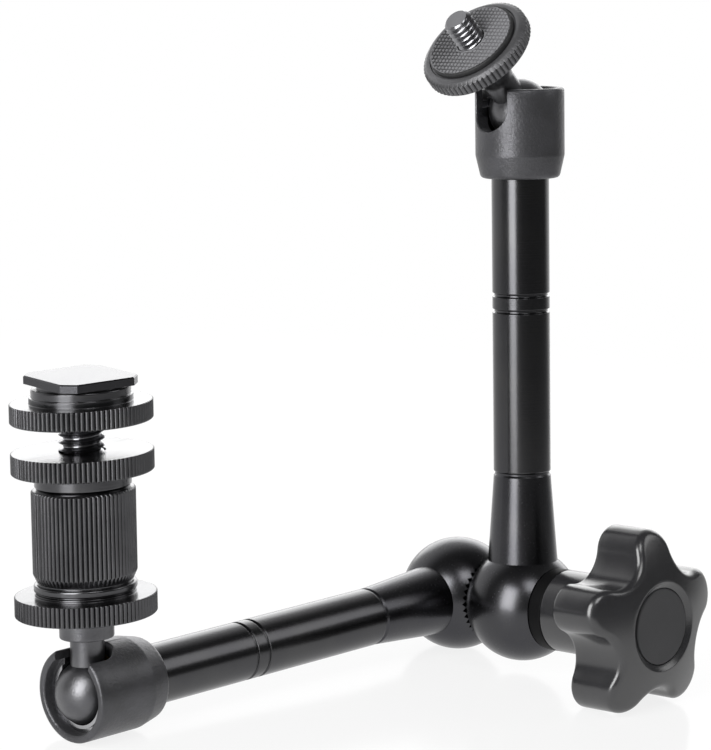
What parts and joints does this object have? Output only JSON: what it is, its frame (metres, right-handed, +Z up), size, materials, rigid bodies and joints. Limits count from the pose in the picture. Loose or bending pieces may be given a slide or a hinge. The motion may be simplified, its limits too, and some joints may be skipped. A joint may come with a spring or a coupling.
{
  "type": "articulating friction arm",
  "caption": "Black friction arm with a toothed elbow, lobed clamp knob, slotted ball sockets, a shoe mount head and a camera screw head.",
  "frame": {"origin": "on the surface that the arm stands on, under the middle of its box", "axes": "+Z up, lower arm towards -X, clamp knob towards -Y"},
  "size_m": [0.1474, 0.079, 0.1472],
  "materials": {
    "black_anodised": "satin",
    "black_wheel": "satin",
    "dark_steel": "polished",
    "polished_steel": "polished",
    "plain_steel": "turned",
    "brass": "turned",
    "knob_plastic": "satin",
    "collar_plastic": "matte",
    "pad_rubber": "textured"
  },
  "bodies": {
    "lower_arm": {"lower_knuckle": "black_anodised", "lower_tube": "black_anodised", "lower_socket": "black_anodised", "lower_retaining_ring": "polished_steel", "release_spring": "plain_steel"},
    "lower_clamp_rod": {"lower_push_rod": "plain_steel", "lower_ball_seat": "brass"},
    "clamp_bolt": {"clamp_bolt": "plain_steel", "lower_wedge": "plain_steel"},
    "upper_arm": {"upper_knuckle": "black_anodised", "upper_tube": "black_anodised", "upper_socket": "black_anodised", "upper_retaining_ring": "polished_steel", "clamp_collar": "collar_plastic"},
    "upper_clamp_rod": {"upper_push_rod": "plain_steel", "upper_ball_seat": "brass"},
    "upper_wedge": {"upper_wedge": "plain_steel"},
    "knob": {"knob": "knob_plastic", "knob_insert": "brass", "knob_cap": "knob_plastic"},
    "lower_ball": {"lower_ball_stud": "dark_steel"},
    "lock_wheel": {"lock_wheel": "black_wheel"},
    "knurled_barrel": {"knurled_barrel": "black_wheel"},
    "shoe_post": {"shoe_post": "dark_steel", "shoe_foot": "black_wheel"},
    "middle_wheel": {"middle_wheel": "black_wheel"},
    "shoe_wheel": {"shoe_wheel": "black_wheel"},
    "upper_ball": {"upper_ball_stud": "dark_steel"},
    "screw_wheel": {"screw_wheel": "black_wheel", "rubber_pad": "pad_rubber"}
  },
  "joints": [
    {"name": "elbow", "type": "hinge", "parent": "lower_arm", "child": "upper_arm", "pos_m": [0.05384, 0.01112, 0.01368], "axis": [0.0027, 0.9939, -0.1099], "range_deg": [-35, 215]},
    {"name": "knob_turn", "type": "hinge", "parent": "upper_arm", "child": "knob", "pos_m": [0.05378, -0.01114, 0.01614], "axis": [0.0027, 0.9939, -0.1099], "range_deg": [0, 360]},
    {"name": "bolt_slide", "type": "slide", "parent": "lower_arm", "child": "clamp_bolt", "axis": [-0.0027, -0.9939, 0.1099], "range_m": [0, 0.00102]},
    {"name": "upper_wedge_slide", "type": "slide", "parent": "upper_arm", "child": "upper_wedge", "axis": [0.0027, 0.9939, -0.1099], "range_m": [0, 0.00102]},
    {"name": "lower_rod_slide", "type": "slide", "parent": "lower_arm", "child": "lower_clamp_rod", "axis": [-0.9997, 0, -0.0246], "range_m": [0, 0.000408]},
    {"name": "upper_rod_slide", "type": "slide", "parent": "upper_arm", "child": "upper_clamp_rod", "axis": [0.0113, 0.1099, 0.9939], "range_m": [0, 0.000408]},
    {"name": "lower_ball_tilt", "type": "hinge", "parent": "lower_arm", "child": "lower_ball", "pos_m": [-0.05755, 0.02086, 0.00986], "axis": [0.0003, -0.9999, -0.012], "range_deg": [0, 120]},
    {"name": "lock_wheel_turn", "type": "hinge", "parent": "lower_ball", "child": "lock_wheel", "pos_m": [-0.05755, 0.02086, 0.00986], "axis": [-0.0281, 0.07, 0.9972], "continuous": true},
    {"name": "barrel_turn", "type": "hinge", "parent": "lower_ball", "child": "knurled_barrel", "pos_m": [-0.05755, 0.02086, 0.00986], "axis": [-0.0281, 0.07, 0.9972], "continuous": true},
    {"name": "shoe_turn", "type": "hinge", "parent": "knurled_barrel", "child": "shoe_post", "pos_m": [-0.05755, 0.02086, 0.00986], "axis": [-0.0281, 0.07, 0.9972], "continuous": true},
    {"name": "middle_wheel_turn", "type": "hinge", "parent": "shoe_post", "child": "middle_wheel", "pos_m": [-0.05755, 0.02086, 0.00986], "axis": [-0.0281, 0.07, 0.9972], "continuous": true},
    {"name": "shoe_wheel_clamp", "type": "slide", "parent": "shoe_post", "child": "shoe_wheel", "axis": [-0.0281, 0.07, 0.9972], "range_m": [-0.006, 0]},
    {"name": "upper_ball_tilt", "type": "hinge", "parent": "upper_arm", "child": "upper_ball", "pos_m": [0.05505, 0.0134, 0.12348], "axis": [-0.1245, -0.986, 0.1104], "range_deg": [-75, 44]},
    {"name": "screw_wheel_turn", "type": "hinge", "parent": "upper_ball", "child": "screw_wheel", "pos_m": [0.05505, 0.0134, 0.12348], "axis": [-0.7052, 0.0675, 0.7058], "continuous": true}
  ],
  "couplings": [
    {"joint": "bolt_slide", "follows": "knob_turn", "m_per_rad": 0.00015915},
    {"joint": "upper_wedge_slide", "follows": "knob_turn", "m_per_rad": 0.00015915},
    {"joint": "lower_rod_slide", "follows": "knob_turn", "m_per_rad": 0.000063662},
    {"joint": "upper_rod_slide", "follows": "knob_turn", "m_per_rad": 0.000063662}
  ]
}
